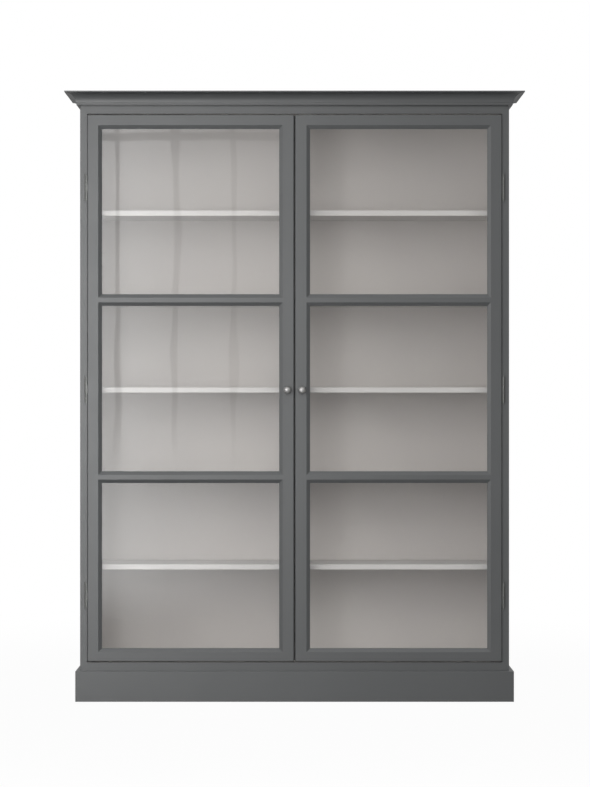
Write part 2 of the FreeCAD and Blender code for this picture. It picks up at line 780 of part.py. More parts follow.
def cornice_screws(name, play):
    """Three screws into the front length, then three into the back rail."""
    seat_y = front_y + dim.cornice_seat / 2
    rail_y = (back_y - dim.cornice_back_thickness + back_face_y) / 2
    places_x = [dim.cornice_screw_spacing * step for step in (-1, 0, 1)]
    points = [(x, y, ceiling_z) for y in (seat_y, rail_y) for x in places_x]
    return wood_screws(name, points, "+z", dim.top_thickness, play)


def cornice_section(outward):
    """The moulding's section, each corner given as how far out it lies and its height."""
    low, high = carcass_top_z, cabinet_top_z
    quirk_z = low + dim.cornice_quirk_height
    band_z = quirk_z + dim.cornice_band_height
    fillet_z = high - dim.cornice_fillet
    centre_z = fillet_z - dim.cove_radius
    rise = band_z - centre_z
    cove_foot = dim.cornice_overhang - leg(dim.cove_radius, rise)
    ledge_z = high - dim.cornice_cover_thickness
    cove = (outward(dim.cornice_overhang), centre_z, dim.cove_radius)
    return [
        (outward(-dim.cornice_seat), low),
        (outward(-dim.cornice_quirk_depth), low),
        (outward(-dim.cornice_quirk_depth), quirk_z),
        (outward(dim.cornice_band_projection), quirk_z),
        (outward(dim.cornice_band_projection), band_z),
        (outward(cove_foot), band_z, cove),
        (outward(dim.cornice_overhang), fillet_z),
        (outward(dim.cornice_overhang), high),
        (outward(dim.cornice_cover_ledge - dim.cornice_seat), high),
        (outward(dim.cornice_cover_ledge - dim.cornice_seat), ledge_z),
        (outward(-dim.cornice_seat), ledge_z),
    ]


def cornice():
    span_z = (carcass_top_z, cabinet_top_z)
    reach = half_width + dim.cornice_overhang
    low_y = front_y - dim.cornice_overhang
    holes = cornice_screws("cornice_hole", PLAY)
    section = cornice_section(lambda out: front_y - out)
    plan = plan_front(dim.cornice_overhang, dim.cornice_seat)
    front = mitred("front_moulding", "x", section, plan, (-reach, reach), span_z)
    piece("cornice_front", less("front_moulding_drilled", front, holes[:3]))
    for word, side in SIDES:
        section = cornice_section(lambda out: (half_width + out) * side)
        plan = plan_side(side, dim.cornice_overhang, dim.cornice_seat)
        piece(f"cornice_{word}", mitred(f"{word}_moulding", "y", section, plan, (low_y, back_y), span_z))
    rail_x = half_width - dim.cornice_seat
    ledge_z = cabinet_top_z - dim.cornice_cover_thickness
    rail_y = (back_y - dim.cornice_back_thickness, back_y)
    back_rail = board("cornice_rail", (-rail_x, rail_x), rail_y, (carcass_top_z, ledge_z))
    piece("cornice_back_rail", less("cornice_rail_drilled", back_rail, holes[3:]))
    cover_x = rail_x + dim.cornice_cover_ledge
    cover_y = (front_y + dim.cornice_seat - dim.cornice_cover_ledge, back_y)
    cover = board("cornice_cover_board", (-cover_x, cover_x), cover_y, (ledge_z, cabinet_top_z))
    piece("cornice_cover", cover)
    piece("cornice_screws", group("all_cornice_screws", cornice_screws("cornice_screw", NO_PLAY)))


# ---------------------------------------------------------------- doors


def moulded_edge(outer, inward, width):
    """Half of a frame section: from the outer edge to the pane, then back behind the glass.

    Each corner is (place across the frame, y), and inward is +1 or -1 towards the pane.
    """
    flat = outer + (width - dim.bevel_width) * inward
    inner = outer + width * inward
    wall = outer + (width - dim.glazing_rebate) * inward
    return [
        (flat, door_front_y),
        (flat, door_front_y + dim.bevel_step),
        (inner, door_front_y + dim.bevel_depth),
        (inner, glass_y),
        (wall, glass_y),
        (wall, door_back_y),
    ]


def edge_section(outer, inward, width):
    """The whole section of a stile or rail with a pane on one side."""
    return [(outer, door_front_y)] + moulded_edge(outer, inward, width) + [(outer, door_back_y)]


def bar_section(low_z):
    """The section of a bar with a pane below and above it."""
    middle = low_z + dim.glazing_bar_height / 2
    half = dim.glazing_bar_height / 2
    return moulded_edge(middle, 1, half) + list(reversed(moulded_edge(middle, -1, half)))


def pane_height():
    rails = dim.top_rail_height + dim.bottom_rail_height + dim.glazing_bar_height * len(BAR_NAMES)
    return (door_high_z - door_low_z - rails) / len(PANE_NAMES)


def pane_low_z(number):
    return door_low_z + dim.bottom_rail_height + (pane_height() + dim.glazing_bar_height) * number


def stile(name, side, section, outer):
    """An uncut stile, rounded along its outer edge and over both ends."""
    profile = [(x * side, y) for x, y in section]
    rounded = [("front", "top"), ("front", "bottom"), ("front", outer)]
    return prism(f"{name}_blank", "z", profile, door_low_z, door_high_z, rounded, dim.door_arris)


def rail(name, side, section, stiles, rounded=()):
    """A rail between the stiles, its ends shaped over their moulded edges."""
    low = meeting_edge_x + dim.meeting_stile_width - dim.bevel_width
    high = hinge_edge_x - dim.hinge_stile_width + dim.bevel_width
    profile = [(y, z) for z, y in section]
    blank = prism(f"{name}_blank", "x", profile, *mirrored(low, high, side), rounded, dim.door_arris)
    piece(name, less(f"{name}_coped", blank, stiles))


def pane_and_beads(word, side, number):
    """A pane and the four beads that hold it from behind."""
    left = meeting_edge_x + dim.meeting_stile_width - dim.glazing_rebate
    right = hinge_edge_x - dim.hinge_stile_width + dim.glazing_rebate
    low = pane_low_z(number) - dim.glazing_rebate
    high = pane_low_z(number) + pane_height() + dim.glazing_rebate
    play = dim.glass_play
    name = f"{word}_pane_{PANE_NAMES[number]}"
    glass_back_y = glass_y + dim.glass_thickness
    pane_x = mirrored(left + play, right - play, side)
    pane = cuboid(f"{name}_glass", pane_x, (glass_y, glass_back_y), (low + play, high - play))
    piece(name, pane)
    bead_y = (glass_back_y, door_back_y)
    bead = dim.glazing_rebate
    spans = (
        (left, right, low, low + bead),
        (left, right, high - bead, high),
        (left, left + bead, low + bead, high - bead),
        (right - bead, right, low + bead, high - bead),
    )
    return [
        cuboid(f"{name}_bead_{count}", mirrored(x_low, x_high, side), bead_y, (z_low, z_high))
        for count, (x_low, x_high, z_low, z_high) in enumerate(spans, 1)
    ]


def knob_place(side):
    return (meeting_edge_x + dim.knob_inset) * side, door_low_z + dim.knob_rise


def knob_shank(name, side, play, length):
    """The knob's screw from the back of the door forwards, or its hole where there is play."""
    x, z = knob_place(side)
    return rod(name, x, door_back_y, z, "-y", dim.knob_screw_radius + play, length)


def knob(word, side):
    """A ball knob on a round foot, and the screw that holds it from behind the stile."""
    x, z = knob_place(side)
    bore = dim.knob_screw_radius + PLAY
    centre = dim.knob_radius - dim.knob_length
    neck = centre + leg(dim.knob_radius, dim.knob_neck_radius)
    corners = [
        (bore, 0),
        (dim.knob_rose_radius, 0),
        (dim.knob_rose_radius, -dim.knob_rose_height),
        (dim.knob_neck_radius, -dim.knob_rose_height),
        (dim.knob_neck_radius, neck, (0, centre, dim.knob_radius)),
        (0, -dim.knob_length),
        (0, -dim.knob_screw_depth - PLAY),
        (bore, -dim.knob_screw_depth - PLAY),
    ]
    piece(f"{word}_knob", turned(f"{word}_knob_ball", corners, x, door_front_y, z))
    head_radius, head_height = dim.knob_screw_head_radius, dim.knob_screw_head_height
    head = rod(f"{word}_knob_screw_head", x, door_back_y, z, "+y", head_radius, head_height)
    length = dim.door_thickness + dim.knob_screw_depth
    shank = knob_shank(f"{word}_knob_screw_shank", side, NO_PLAY, length)
    piece(f"{word}_knob_screw", joined(f"{word}_knob_bolt", [head, shank]))


def catch_span_x(side):
    middle = meeting_edge_x + dim.catch_inset
    return mirrored(middle - dim.catch_width / 2, middle + dim.catch_width / 2, side)


def strike_plate(word, side):
    high = door_high_z - dim.strike_inset
    plate_y = (door_back_y, door_back_y + dim.strike_thickness)
    plate = cuboid(f"{word}_strike", catch_span_x(side), plate_y, (high - dim.strike_height, high))
    piece(f"{word}_strike_plate", plate)


def catches():
    front = door_back_y + dim.strike_thickness + dim.catch_gap
    span_y = (front, front + dim.catch_depth)
    span_z = (ceiling_z - dim.catch_height, ceiling_z)
    bodies = [cuboid(f"{word}_catch", catch_span_x(side), span_y, span_z) for word, side in SIDES]
    piece("door_catches", group("catches", bodies))


def door_frame(word, side):
    """Two stiles, a rail at the top and bottom, and the bars between the panes."""
    hinge_section = edge_section(hinge_edge_x, -1, dim.hinge_stile_width)
    hinge_stile = stile(f"{word}_hinge_stile", side, hinge_section, FACE_TOWARDS[side])
    meeting_section = edge_section(meeting_edge_x, 1, dim.meeting_stile_width)
    meeting_stile = stile(f"{word}_meeting_stile", side, meeting_section, FACE_TOWARDS[-side])
    stiles = [hinge_stile, meeting_stile]
    top_section = edge_section(door_high_z, -1, dim.top_rail_height)
    rail(f"{word}_top_rail", side, top_section, stiles, [("front", "top")])
    bottom_section = edge_section(door_low_z, 1, dim.bottom_rail_height)
    rail(f"{word}_bottom_rail", side, bottom_section, stiles, [("front", "bottom")])
    for number, bar in enumerate(BAR_NAMES):
        low_z = pane_low_z(number) + pane_height()
        rail(f"{word}_{bar}_bar", side, bar_section(low_z), stiles)
    recesses = []
    for number, centre_z in enumerate(hinge_centres_z, 1):
        recesses += leaf_pocket(f"{word}_stile_hinge_{number}", side, centre_z, True)
    piece(f"{word}_hinge_stile", less(f"{word}_hinge_stile_cut", hinge_stile, recesses))
    knob_hole = knob_shank(f"{word}_knob_hole", side, PLAY, dim.door_thickness)
    piece(f"{word}_meeting_stile", less(f"{word}_meeting_stile_cut", meeting_stile, [knob_hole]))


def door(word, side):
    door_frame(word, side)
    beads = []
    for number in range(len(PANE_NAMES)):
        beads += pane_and_beads(word, side, number)
    piece(f"{word}_glazing_beads", group(f"{word}_beads", beads))
    knob(word, side)
    strike_plate(word, side)


# ---------------------------------------------------------------- whole cabinet


def check():
    """Stops on any object that failed and on any piece without a sound shape."""
    for item in DOC.Objects:
        if {"Invalid", "Error"} & set(item.State):
            raise RuntimeError(f"{item.Name} failed: {item.State}")
    for label, item in pieces.items():
        if item.Label != label:
            raise RuntimeError(f"{label} is named twice")
        if item.Shape.isNull() or not item.Shape.isValid() or not item.Shape.Solids:
            raise RuntimeError(f"{label} has no sound shape")


def export():
    os.makedirs("parts", exist_ok=True)
    for label, item in pieces.items():
        item.Shape.exportStep(os.path.join("parts", f"{label}.step"))


carcass()
shelves()
plinth()
cornice()
for door_word, door_side in SIDES:
    door(door_word, door_side)
hinge_pieces()
catches()
DOC.recompute()
check()
export()
print(f"{len(pieces)} pieces")
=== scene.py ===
"""A tall bookcase with two glass doors: its finishes, its fine fittings, and a studio to see it in."""

import functools
import logging
import math
from collections.abc import Callable, Iterable, Mapping
from dataclasses import dataclass
from enum import Enum
from typing import Optional, Protocol, Union

import bmesh
import bpy
from mathutils import Matrix, Vector


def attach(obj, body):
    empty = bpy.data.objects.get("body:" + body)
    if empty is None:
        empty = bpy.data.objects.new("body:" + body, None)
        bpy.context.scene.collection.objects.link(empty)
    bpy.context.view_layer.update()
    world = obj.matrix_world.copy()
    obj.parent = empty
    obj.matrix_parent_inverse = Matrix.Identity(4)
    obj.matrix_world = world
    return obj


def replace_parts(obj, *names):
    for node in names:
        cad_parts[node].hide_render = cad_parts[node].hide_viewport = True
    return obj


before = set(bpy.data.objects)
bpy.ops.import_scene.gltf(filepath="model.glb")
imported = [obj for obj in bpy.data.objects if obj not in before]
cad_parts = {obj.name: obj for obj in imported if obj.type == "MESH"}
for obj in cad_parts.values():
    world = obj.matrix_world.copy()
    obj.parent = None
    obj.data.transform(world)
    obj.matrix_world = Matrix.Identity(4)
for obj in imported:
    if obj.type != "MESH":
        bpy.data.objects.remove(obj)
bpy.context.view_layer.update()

LOG = logging.getLogger("bookcase")
MERGE_DISTANCE = 1e-7
END_TOLERANCE = 1e-5
PLACE_DIGITS = 6
SHARP_ANGLE = math.radians(35)
PAINT_AND_GLASS_IOR = 1.5
NOISE_MIDDLE = 0.5
UPRIGHT = math.radians(90)
SRGB_TOP = 255
SRGB_KNEE = 0.04045
SRGB_SLOPE = 12.92
SRGB_OFFSET = 0.055
SRGB_POWER = 2.4

Colour = tuple[float, float, float, float]
Triple = tuple[float, float, float]
Element = Union[bmesh.types.BMVert, bmesh.types.BMEdge, bmesh.types.BMFace]
WHITE: Colour = (1.0, 1.0, 1.0, 1.0)


def linear_share(value: float) -> float:
    """Turns one number of a paint chip into a share of light.

    Args:
        value: From 0 to 255.

    Returns:
        The linear share, from 0 to 1.
    """
    share = value / SRGB_TOP
    if share <= SRGB_KNEE:
        return share / SRGB_SLOPE
    return ((share + SRGB_OFFSET) / (1.0 + SRGB_OFFSET)) ** SRGB_POWER


def paint_chip(red: float, green: float, blue: float) -> Colour:
    """A linear colour from the three 8-bit numbers that a paint chip is given in.

    Args:
        red: From 0 to 255.
        green: From 0 to 255.
        blue: From 0 to 255.

    Returns:
        The linear red, green and blue, with an alpha of 1.
    """
    return (linear_share(red), linear_share(green), linear_share(blue), 1.0)


# ---------------------------------------------------------------- shader maths


class Scalar:
    """A number socket of a shader, on which Python's operators add Math nodes."""

    def __init__(self, tree: "ShaderTree", socket: bpy.types.NodeSocket) -> None:
        """Keeps the socket and the tree that it is in.

        Args:
            tree: The shader's nodes.
            socket: An output that gives one number.
        """
        self.tree = tree
        self.socket = socket

    def __add__(self, other: "Number") -> "Scalar":
        """This number plus other."""
        return self.tree.maths("ADD", self, other)

    def __radd__(self, other: "Number") -> "Scalar":
        """The other number plus this one."""
        return self.tree.maths("ADD", other, self)

    def __sub__(self, other: "Number") -> "Scalar":
        """This number less other."""
        return self.tree.maths("SUBTRACT", self, other)

    def __rsub__(self, other: "Number") -> "Scalar":
        """The other number less this one."""
        return self.tree.maths("SUBTRACT", other, self)

    def __mul__(self, other: "Number") -> "Scalar":
        """This number times other."""
        return self.tree.maths("MULTIPLY", self, other)

    def __rmul__(self, other: "Number") -> "Scalar":
        """The other number times this one."""
        return self.tree.maths("MULTIPLY", other, self)

    def __truediv__(self, other: "Number") -> "Scalar":
        """This number divided by other."""
        return self.tree.maths("DIVIDE", self, other)

    def __abs__(self) -> "Scalar":
        """This number without its sign."""
        return self.tree.maths("ABSOLUTE", self)

    def rises(self, low: float, high: float) -> "Scalar":
        """A smooth step from 0 at low to 1 at high, or down from 1 where low is the greater.

        Args:
            low: Where the result is 0.
            high: Where the result is 1.

        Returns:
            The step, kept between 0 and 1.
        """
        settings = {"interpolation_type": "SMOOTHSTEP"}
        sockets = {"Value": self, "From Min": low, "From Max": high}
        node = self.tree.node("ShaderNodeMapRange", settings, sockets)
        return Scalar(self.tree, node.outputs["Result"])

    def mixed_with(self, other: "Scalar", share: float) -> "Scalar":
        """This number with a share of other mixed in."""
        return (1.0 - share) * self + share * other


Number = Union[Scalar, float]
Feed = Union[Scalar, bpy.types.NodeSocket, float, tuple, None]


@dataclass(frozen=True)
class NoiseLayer:
    """Soft noise around one half: its lumps per metre, its finer layers and how strong those are."""

    per_metre: float
    detail: float = 2.0
    rough: float = 0.5


class ShaderTree:
    """A shader's nodes, cleared and built up from one output."""

    def __init__(self, owner: Union[bpy.types.Material, bpy.types.World]) -> None:
        """Clears the owner's nodes.

        Args:
            owner: The material or world whose shader this is.
        """
        owner.use_nodes = True
        self.tree = owner.node_tree
        self.tree.nodes.clear()

    def node(
        self,
        kind: str,
        settings: Optional[Mapping[str, object]] = None,
        sockets: Optional[Mapping[Union[str, int], Feed]] = None,
    ) -> bpy.types.Node:
        """Adds a node.

        Args:
            kind: The node's type.
            settings: Its settings by name, set first; stops is a colour ramp's places and colours.
            sockets: The value or link of each input, by name or number.

        Returns:
            The new node.
        """
        made = self.tree.nodes.new(kind)
        for name, value in (settings or {}).items():
            if name == "stops":
                self._set_stops(made.color_ramp, value)
            else:
                setattr(made, name, value)
        for name, value in (sockets or {}).items():
            self._feed(made.inputs[name], value)
        return made

    def _set_stops(self, ramp: bpy.types.ColorRamp, stops: Iterable[tuple[float, Colour]]) -> None:
        """Gives a colour ramp its places and colours.

        Args:
            ramp: The ramp, which has two stops when it is new.
            stops: The place and the colour of each stop, from left to right.
        """
        places = list(stops)
        while len(ramp.elements) < len(places):
            ramp.elements.new(1.0)
        for element, (place, colour) in zip(ramp.elements, places):
            element.position = place
            element.color = colour

    def _feed(self, socket: bpy.types.NodeSocket, value: Feed) -> None:
        """Links or sets one input.

        Args:
            socket: The input.
            value: What is linked to it, or its own value; None leaves it as it is.
        """
        if isinstance(value, Scalar):
            value = value.socket
        if isinstance(value, bpy.types.NodeSocket):
            self.tree.links.new(value, socket)
        elif value is not None:
            socket.default_value = value

    def maths(self, operation: str, *values: Number) -> Scalar:
        """A Math node's result.

        Args:
            operation: The node's operation.
            values: What it works on, in order.

        Returns:
            The result.
        """
        node = self.node("ShaderNodeMath", {"operation": operation}, dict(enumerate(values)))
        return Scalar(self, node.outputs[0])

    def between(self, first: Feed, second: Feed, share: Number) -> bpy.types.NodeSocket:
        """A colour that goes from first to second.

        Args:
            first: The colour where share is 0.
            second: The colour where share is 1.
            share: The Mix node's factor.

        Returns:
            The mixed colour's socket.
        """
        node = self.node("ShaderNodeMix", {"data_type": "RGBA"}, {0: share, 6: first, 7: second})
        return node.outputs[2]

    def place(self) -> bpy.types.NodeSocket:
        """Object coordinates, in metres."""
        return self.node("ShaderNodeTexCoord").outputs["Object"]

    def stretched(self, vector: bpy.types.NodeSocket, factors: Triple) -> bpy.types.NodeSocket:
        """The vector with each of its three numbers multiplied."""
        node = self.node("ShaderNodeVectorMath", {"operation": "MULTIPLY"}, {0: vector, 1: factors})
        return node.outputs[0]

    def axes(self, vector: bpy.types.NodeSocket) -> tuple[Scalar, Scalar, Scalar]:
        """The three numbers of a vector.

        Args:
            vector: The vector's socket.

        Returns:
            Its x, y and z.
        """
        node = self.node("ShaderNodeSeparateXYZ", None, {0: vector})
        return (Scalar(self, node.outputs[0]), Scalar(self, node.outputs[1]), Scalar(self, node.outputs[2]))

    def noise(self, vector: bpy.types.NodeSocket, layer: NoiseLayer) -> Scalar:
        """Reads a layer of noise.

        Args:
            vector: Where it is read.
            layer: Its measures.

        Returns:
            The noise, from 0 to 1.
        """
        sockets = {
            "Vector": vector,
            "Scale": layer.per_metre,
            "Detail": layer.detail,
            "Roughness": layer.rough,
        }
        return Scalar(self, self.node("ShaderNodeTexNoise", None, sockets).outputs[0])

    def ray(self, *kinds: str) -> Scalar:
        """Picks out some kinds of ray.

        Args:
            kinds: The names of Light Path's outputs.

        Returns:
            1 for a ray of any of those kinds, otherwise 0.
        """
        path = self.node("ShaderNodeLightPath")
        total: Number = 0.0
        for kind in kinds:
            total = self.maths("MAXIMUM", Scalar(self, path.outputs[kind]), total)
        return total

    def bump(self, height: Scalar, strength: float, depth: float) -> bpy.types.NodeSocket:
        """A normal from a height.

        Args:
            height: The height, from 0 to 1.
            strength: How much of the bump shows.
            depth: What a height of 1 means, in metres.

        Returns:
            The normal's socket.
        """
        sockets = {"Height": height, "Strength": strength, "Distance": depth}
        return self.node("ShaderNodeBump", None, sockets).outputs[0]

    def mixed(self, first: bpy.types.Node, second: bpy.types.Node, share: Number) -> bpy.types.Node:
        """A Mix Shader of two shader nodes.

        Args:
            first: The shader where share is 0.
            second: The shader where share is 1.
            share: The node's factor.

        Returns:
            The Mix Shader node.
        """
        sockets = {0: share, 1: first.outputs[0], 2: second.outputs[0]}
        return self.node("ShaderNodeMixShader", None, sockets)

    def finish(self, shader: bpy.types.Node, output: str = "ShaderNodeOutputMaterial") -> None:
        """Joins a shader to the tree's output."""
        self.node(output, None, {"Surface": shader.outputs[0]})


# ---------------------------------------------------------------- finishes


class Slot(Enum):
    """The material slots that the record names."""

    GREY_PAINT = "grey_paint"
    INSIDE_PAINT = "inside_paint"
    BARE_WOOD = "bare_wood"
    SATIN_METAL = "satin_metal"
    CLEAR_GLASS = "clear_glass"
    CATCH_PLASTIC = "catch_plastic"


class Along(Enum):
    """The way a board lies, with how far brush marks and grain are drawn out in X, Y and Z."""

    X = (0.035, 1.0, 1.0)
    Y = (1.0, 0.035, 1.0)
    Z = (1.0, 1.0, 0.035)


class Finish(Protocol):
    """What every finish can do."""

    slot: Slot

    def build(self, tree: ShaderTree) -> None:
        """Fills a material's nodes."""


@functools.cache
def material_of(finish: Finish) -> bpy.types.Material:
    """Makes the material of a finish, once.

    Args:
        finish: The finish.

    Returns:
        Its material.
    """
    material = bpy.data.materials.new(f"{finish.slot.value}_{type(finish).__name__}")
    finish.build(ShaderTree(material))
    return material


@dataclass(frozen=True)
class Coat:
    """One coat of satin paint, rolled on and laid off along the board."""

    shade: Colour
    thin_shade: Colour
    roughness: float
    roughness_swing: float = 0.10
    gloss: float = 0.5
    relief: float = 0.5
    depth: float = 0.00005
    strokes: NoiseLayer = NoiseLayer(420.0, 3.0, 0.6)
    stipple: NoiseLayer = NoiseLayer(900.0, 2.0, 0.55)
    clouds: NoiseLayer = NoiseLayer(2.6, 3.0)
    patches: NoiseLayer = NoiseLayer(14.0)
    strokes_in_colour: float = 0.35
    strokes_in_sheen: float = 0.40
    stipple_in_relief: float = 0.45
    thin_from: float = 0.30
    thin_to: float = 0.70

    def surface(self, tree: ShaderTree, along: Along) -> tuple[bpy.types.NodeSocket, Scalar, Scalar]:
        """Works out the coat's look.

        Args:
            tree: The material's nodes.
            along: The way the board lies.

        Returns:
            Its colour, its roughness, and its height from 0 to 1.
        """
        place = tree.place()
        strokes = tree.noise(tree.stretched(place, along.value), self.strokes)
        stipple = tree.noise(place, self.stipple)
        clouds = tree.noise(place, self.clouds)
        patches = tree.noise(place, self.patches)
        thinness = clouds.mixed_with(strokes, self.strokes_in_colour)
        thinness = thinness.rises(self.thin_from, self.thin_to)
        colour = tree.between(self.shade, self.thin_shade, thinness)
        uneven = patches.mixed_with(strokes, self.strokes_in_sheen)
        roughness = self.roughness + self.roughness_swing * (uneven - NOISE_MIDDLE)
        height = strokes.mixed_with(stipple, self.stipple_in_relief)
        return colour, roughness, height


@dataclass(frozen=True)
class Painted:
    """A board painted in one colour all over."""

    coat: Coat
    slot: Slot
    along: Along

    def build(self, tree: ShaderTree) -> None:
        """Fills the material's nodes.

        Args:
            tree: The material's nodes, which are empty.
        """
        colour, roughness, height = self.coat.surface(tree, self.along)
        sockets = {
            "Base Color": colour,
            "Roughness": roughness,
            "Normal": tree.bump(height, self.coat.relief, self.coat.depth),
            "IOR": PAINT_AND_GLASS_IOR,
            "Specular IOR Level": self.coat.gloss,
        }
        tree.finish(tree.node("ShaderNodeBsdfPrincipled", None, sockets))


class Inner(Enum):
    """Which faces of a carcass board look into the cabinet."""

    SIDE = "side"
    TOP = "top"
    BOTTOM = "bottom"


@dataclass(frozen=True)
class TwoTone:
    """A carcass board in two paints, the outer one taken round the front to a line behind the doors."""

    outside: Coat
    inside: Coat
    slot: Slot
    along: Along
    inner: Inner
    inner_face: float
    line_y: float
    line_blur: float = 0.0001

    def build(self, tree: ShaderTree) -> None:
        """Fills the material's nodes.

        Args:
            tree: The material's nodes, which are empty.
        """
        x, y, z = tree.axes(tree.place())
        line = self.line_blur
        if self.inner is Inner.SIDE:
            inside = abs(x).rises(self.inner_face + 2 * line, self.inner_face + line)
        elif self.inner is Inner.TOP:
            inside = z.rises(self.inner_face + 2 * line, self.inner_face + line)
        else:
            inside = z.rises(self.inner_face - 2 * line, self.inner_face - line)
        inside = inside * y.rises(self.line_y - line, self.line_y + line)
        outer_colour, outer_roughness, outer_height = self.outside.surface(tree, self.along)
        inner_colour, inner_roughness, _ = self.inside.surface(tree, self.along)
        roughness = outer_roughness + (inner_roughness - outer_roughness) * inside
        sockets = {
            "Base Color": tree.between(outer_colour, inner_colour, inside),
            "Roughness": roughness,
            "Normal": tree.bump(outer_height, self.outside.relief, self.outside.depth),
            "IOR": PAINT_AND_GLASS_IOR,
            "Specular IOR Level": self.outside.gloss,
        }
        tree.finish(tree.node("ShaderNodeBsdfPrincipled", None, sockets))


@dataclass(frozen=True)
class SandedWood:
    """Bare softwood that lies along X, sanded, with growth lines."""

    slot: Slot
    pale: Colour
    dark: Colour
    roughness: float = 0.62
    roughness_swing: float = 0.16
    relief: float = 0.4
    depth: float = 0.0001
    fibres: NoiseLayer = NoiseLayer(900.0, 4.0, 0.65)
    drift: NoiseLayer = NoiseLayer(24.0, 3.0)
    fibres_in_colour: float = 0.45
    fibres_in_relief: float = 0.50
    ring_lean: float = 0.6
    ring_turns: float = 900.0
    ring_drift: float = 26.0
    ring_from: float = 0.25

    def build(self, tree: ShaderTree) -> None:
        """Fills the material's nodes.

        Args:
            tree: The material's nodes, which are empty.
        """
        place = tree.place()
        drawn_out = tree.stretched(place, Along.X.value)
        fibres = tree.noise(drawn_out, self.fibres)
        drift = tree.noise(drawn_out, self.drift)
        _, y, z = tree.axes(place)
        across = y + self.ring_lean * z
        rings = tree.maths("SINE", self.ring_turns * across + self.ring_drift * drift)
        lines = (0.5 + 0.5 * rings).rises(self.ring_from, 1.0)
        share = lines.mixed_with(fibres, self.fibres_in_colour)
        height = lines.mixed_with(fibres, self.fibres_in_relief)
        sockets = {
            "Base Color": tree.between(self.pale, self.dark, share),
            "Roughness": self.roughness + self.roughness_swing * fibres,
            "Normal": tree.bump(height, self.relief, self.depth),
            "IOR": PAINT_AND_GLASS_IOR,
        }
        tree.finish(tree.node("ShaderNodeBsdfPrincipled", None, sockets))


@dataclass(frozen=True)
class SatinMetal:
    """Satin-plated steel or brass, with a fine brushed grain and softly handled patches."""

    slot: Slot
    shade: Colour
    worn_shade: Colour
    roughness: float
    roughness_swing: float = 0.12
    relief: float = 0.25
    depth: float = 0.00002
    hairs: NoiseLayer = NoiseLayer(3000.0, 3.0, 0.6)
    hair_draw: Triple = (1.0, 1.0, 0.12)
    patches: NoiseLayer = NoiseLayer(160.0, 3.0)
    worn_from: float = 0.35
    worn_to: float = 0.75

    def build(self, tree: ShaderTree) -> None:
        """Fills the material's nodes.

        Args:
            tree: The material's nodes, which are empty.
        """
        place = tree.place()
        hairs = tree.noise(tree.stretched(place, self.hair_draw), self.hairs)
        patches = tree.noise(place, self.patches)
        worn = patches.rises(self.worn_from, self.worn_to)
        uneven = (hairs - NOISE_MIDDLE) + (patches - NOISE_MIDDLE)
        sockets = {
            "Base Color": tree.between(self.shade, self.worn_shade, worn),
            "Roughness": self.roughness + self.roughness_swing * uneven,
            "Normal": tree.bump(hairs, self.relief, self.depth),
            "Metallic": 1.0,
        }
        tree.finish(tree.node("ShaderNodeBsdfPrincipled", None, sockets))


@dataclass(frozen=True)
class WindowGlass:
    """Clear drawn glass with a slight wave, which lets lamps and bounced light through."""

    slot: Slot
    tint: Colour
    ripple: float
    waves: NoiseLayer = NoiseLayer(9.0, 1.0, 0.4)
    wave_draw: Triple = (1.0, 1.0, 0.3)

    def build(self, tree: ShaderTree) -> None:
        """Fills the material's nodes.

        Args:
            tree: The material's nodes, which are empty.
        """
        place = tree.place()
        waves = tree.noise(tree.stretched(place, self.wave_draw), self.waves)
        sockets = {
            "Base Color": self.tint,
            "Roughness": 0.0,
            "IOR": PAINT_AND_GLASS_IOR,
            "Transmission Weight": 1.0,
            "Normal": tree.bump(waves, 1.0, self.ripple),
        }
        glass = tree.node("ShaderNodeBsdfPrincipled", None, sockets)
        clear = tree.node("ShaderNodeBsdfTransparent", None, {"Color": self.tint})
        tree.finish(tree.mixed(glass, clear, tree.ray("Is Shadow Ray", "Is Diffuse Ray")))


@dataclass(frozen=True)
class MouldedPlastic:
    """Moulded plastic with a fine spark-eroded grain."""

    slot: Slot
    shade: Colour
    flow_shade: Colour
    roughness: float = 0.42
    roughness_swing: float = 0.15
    relief: float = 0.3
    depth: float = 0.00003
    ior: float = 1.46
    grain: NoiseLayer = NoiseLayer(2600.0)
    flow: NoiseLayer = NoiseLayer(60.0)

    def build(self, tree: ShaderTree) -> None:
        """Fills the material's nodes.

        Args:
            tree: The material's nodes, which are empty.
        """
        place = tree.place()
        grain = tree.noise(place, self.grain)
        flow = tree.noise(place, self.flow)
        sockets = {
            "Base Color": tree.between(self.shade, self.flow_shade, flow),
            "Roughness": self.roughness + self.roughness_swing * grain,
            "Normal": tree.bump(grain, self.relief, self.depth),
            "IOR": self.ior,
        }
        tree.finish(tree.node("ShaderNodeBsdfPrincipled", None, sockets))


GREY_COAT = Coat(paint_chip(67, 69, 70), paint_chip(72, 74, 75), 0.48, gloss=0.75)
WHITE_COAT = Coat(paint_chip(191, 188, 185), paint_chip(197, 194, 191), 0.45)
# The back panel's coat is a darker copy of the shelves' off-white inside paint: its extra darkness is
# painted shade for the dim back of the cabinet.
BACK_SHADE_COAT = Coat(paint_chip(184, 178, 174), paint_chip(189, 184, 179), 0.50)
GREY_ALONG_X = Painted(GREY_COAT, Slot.GREY_PAINT, Along.X)
GREY_ALONG_Y = Painted(GREY_COAT, Slot.GREY_PAINT, Along.Y)
GREY_ALONG_Z = Painted(GREY_COAT, Slot.GREY_PAINT, Along.Z)
WHITE_ALONG_X = Painted(WHITE_COAT, Slot.INSIDE_PAINT, Along.X)
BACK_SHADE_ALONG_Z = Painted(BACK_SHADE_COAT, Slot.INSIDE_PAINT, Along.Z)
PINE_ALONG_X = SandedWood(Slot.BARE_WOOD, paint_chip(214, 180, 134), paint_chip(178, 136, 88))
HINGE_METAL = SatinMetal(Slot.SATIN_METAL, paint_chip(96, 97, 96), paint_chip(106, 107, 105), 0.46)
METAL = SatinMetal(Slot.SATIN_METAL, paint_chip(162, 161, 160), paint_chip(174, 173, 171), 0.48)
GLASS = WindowGlass(Slot.CLEAR_GLASS, paint_chip(253, 253, 253), 0.0004)
